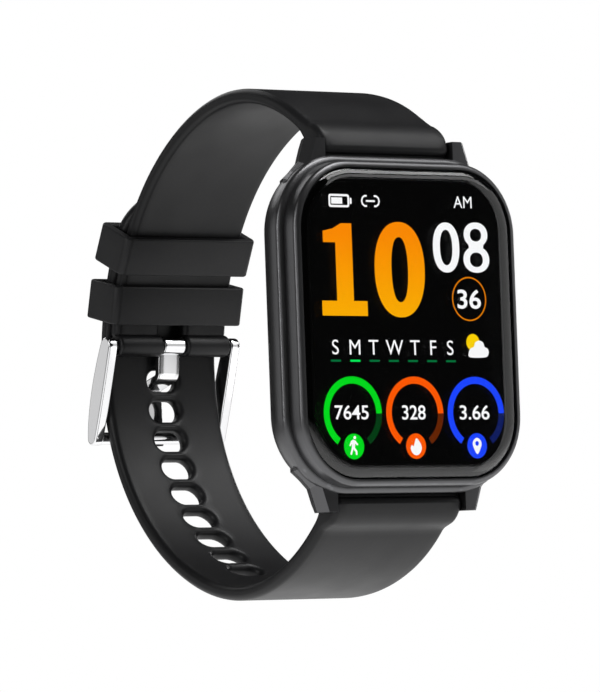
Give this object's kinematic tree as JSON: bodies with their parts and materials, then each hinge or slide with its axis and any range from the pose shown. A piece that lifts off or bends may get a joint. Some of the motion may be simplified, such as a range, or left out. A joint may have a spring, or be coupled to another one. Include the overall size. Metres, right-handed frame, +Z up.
{
  "type": "smartwatch",
  "caption": "Smartwatch with a rounded rectangular touch display, side button, optical sensor back and a closed silicone strap with pin buckle and sliding keepers.",
  "frame": {"origin": "middle of the sensor window's outer face, where the case rests on the wrist", "axes": "+X towards the side button, to the right across the display; +Y out of the case back into the wrist, so the display faces -Y; +Z up the display towards the upper strap"},
  "size_m": [0.0396, 0.0593, 0.0693],
  "materials": {
    "case_metal": "satin dark grey coating",
    "cover_glass": "polished",
    "black_seal": "matte",
    "clear_adhesive": "gloss",
    "display_black": "gloss",
    "flex_circuit": "gloss",
    "inner_plastic": "matte",
    "circuit_board": "satin",
    "chip_black": "matte",
    "small_steel": "brushed",
    "shield_tin": "brushed",
    "battery_foil": "satin",
    "rotor_brass": "machined",
    "back_plastic": "fine matte",
    "sensor_glass": "gloss",
    "emitter_resin": "gloss",
    "contact_gold": "polished",
    "button_metal": "satin",
    "strap_silicone": "matte silicone",
    "keeper_silicone": "matte silicone",
    "buckle_steel": "polished"
  },
  "bodies": {
    "case": {"case_frame": "case_metal", "front_bezel": "case_metal", "cover_glass": "cover_glass", "glass_seal": "black_seal", "optical_adhesive": "clear_adhesive", "display_panel": "display_black", "display_flex": "flex_circuit", "inner_frame": "inner_plastic", "main_board": "circuit_board", "board_chips": "chip_black", "board_screws": "small_steel", "processor_shield": "shield_tin", "battery": "battery_foil", "battery_pad": "black_seal", "motor_can": "small_steel", "motor_axle": "small_steel", "side_switch": "chip_black", "button_oring": "black_seal", "back_cover": "back_plastic", "back_cover_gasket": "black_seal", "sensor_window": "sensor_glass", "sensor_board": "circuit_board", "sensor_emitters": "emitter_resin", "sensor_detectors": "chip_black", "charging_contacts": "contact_gold", "charging_magnets": "small_steel", "upper_bar_tube": "small_steel", "upper_bar_tips": "small_steel", "lower_bar_tube": "small_steel", "lower_bar_tips": "small_steel", "lug_bar_springs": "small_steel"},
    "button": {"side_button": "button_metal", "button_clip": "small_steel"},
    "rotor": {"motor_rotor": "rotor_brass"},
    "upper_strap": {"strap_upper": "strap_silicone", "buckle_bar_tube": "small_steel", "buckle_bar_tips": "small_steel", "pin_spring": "small_steel"},
    "lower_strap": {"strap_lower": "strap_silicone"},
    "keeper_upper": {"keeper_upper": "keeper_silicone"},
    "keeper_lower": {"keeper_lower": "keeper_silicone"},
    "buckle_frame": {"buckle_frame": "buckle_steel"},
    "buckle_tongue": {"buckle_tongue": "buckle_steel"}
  },
  "joints": [
    {"name": "upper_strap_hinge", "type": "hinge", "parent": "case", "child": "upper_strap", "pos_m": [0, -0.0053, 0.0232], "axis": [1, 0, 0], "range_deg": [-0.15, 0.15]},
    {"name": "lower_strap_hinge", "type": "hinge", "parent": "case", "child": "lower_strap", "pos_m": [0, -0.0053, -0.0232], "axis": [1, 0, 0], "range_deg": [-0.15, 0.15]},
    {"name": "keeper_upper_slide", "type": "hinge", "parent": "upper_strap", "child": "keeper_upper", "pos_m": [0, 0.0039, -0.00295], "axis": [1, 0, 0], "range_deg": [-1, 3.5]},
    {"name": "keeper_lower_slide", "type": "hinge", "parent": "upper_strap", "child": "keeper_lower", "pos_m": [0, 0.0039, -0.00295], "axis": [1, 0, 0], "range_deg": [-0.8, 1]},
    {"name": "buckle_hinge", "type": "hinge", "parent": "upper_strap", "child": "buckle_frame", "pos_m": [0, 0.04194, 0.00051], "axis": [1, 0, 0], "range_deg": [0, 2]},
    {"name": "tongue_hinge", "type": "hinge", "parent": "buckle_frame", "child": "buckle_tongue", "pos_m": [0, 0.04194, 0.00051], "axis": [1, 0, 0], "range_deg": [0, 2]},
    {"name": "button_press", "type": "slide", "parent": "case", "child": "button", "axis": [-1, 0, 0], "range_m": [0, 0.0003], "stiffness_N_per_m": 2000},
    {"name": "rotor_spin", "type": "hinge", "parent": "case", "child": "rotor", "pos_m": [0.011, -0.00485, -0.0095], "axis": [0, -1, 0], "continuous": true}
  ],
  "couplings": [
    {"joint": "lower_strap_hinge", "follows": "upper_strap_hinge", "ratio": -1}
  ]
}
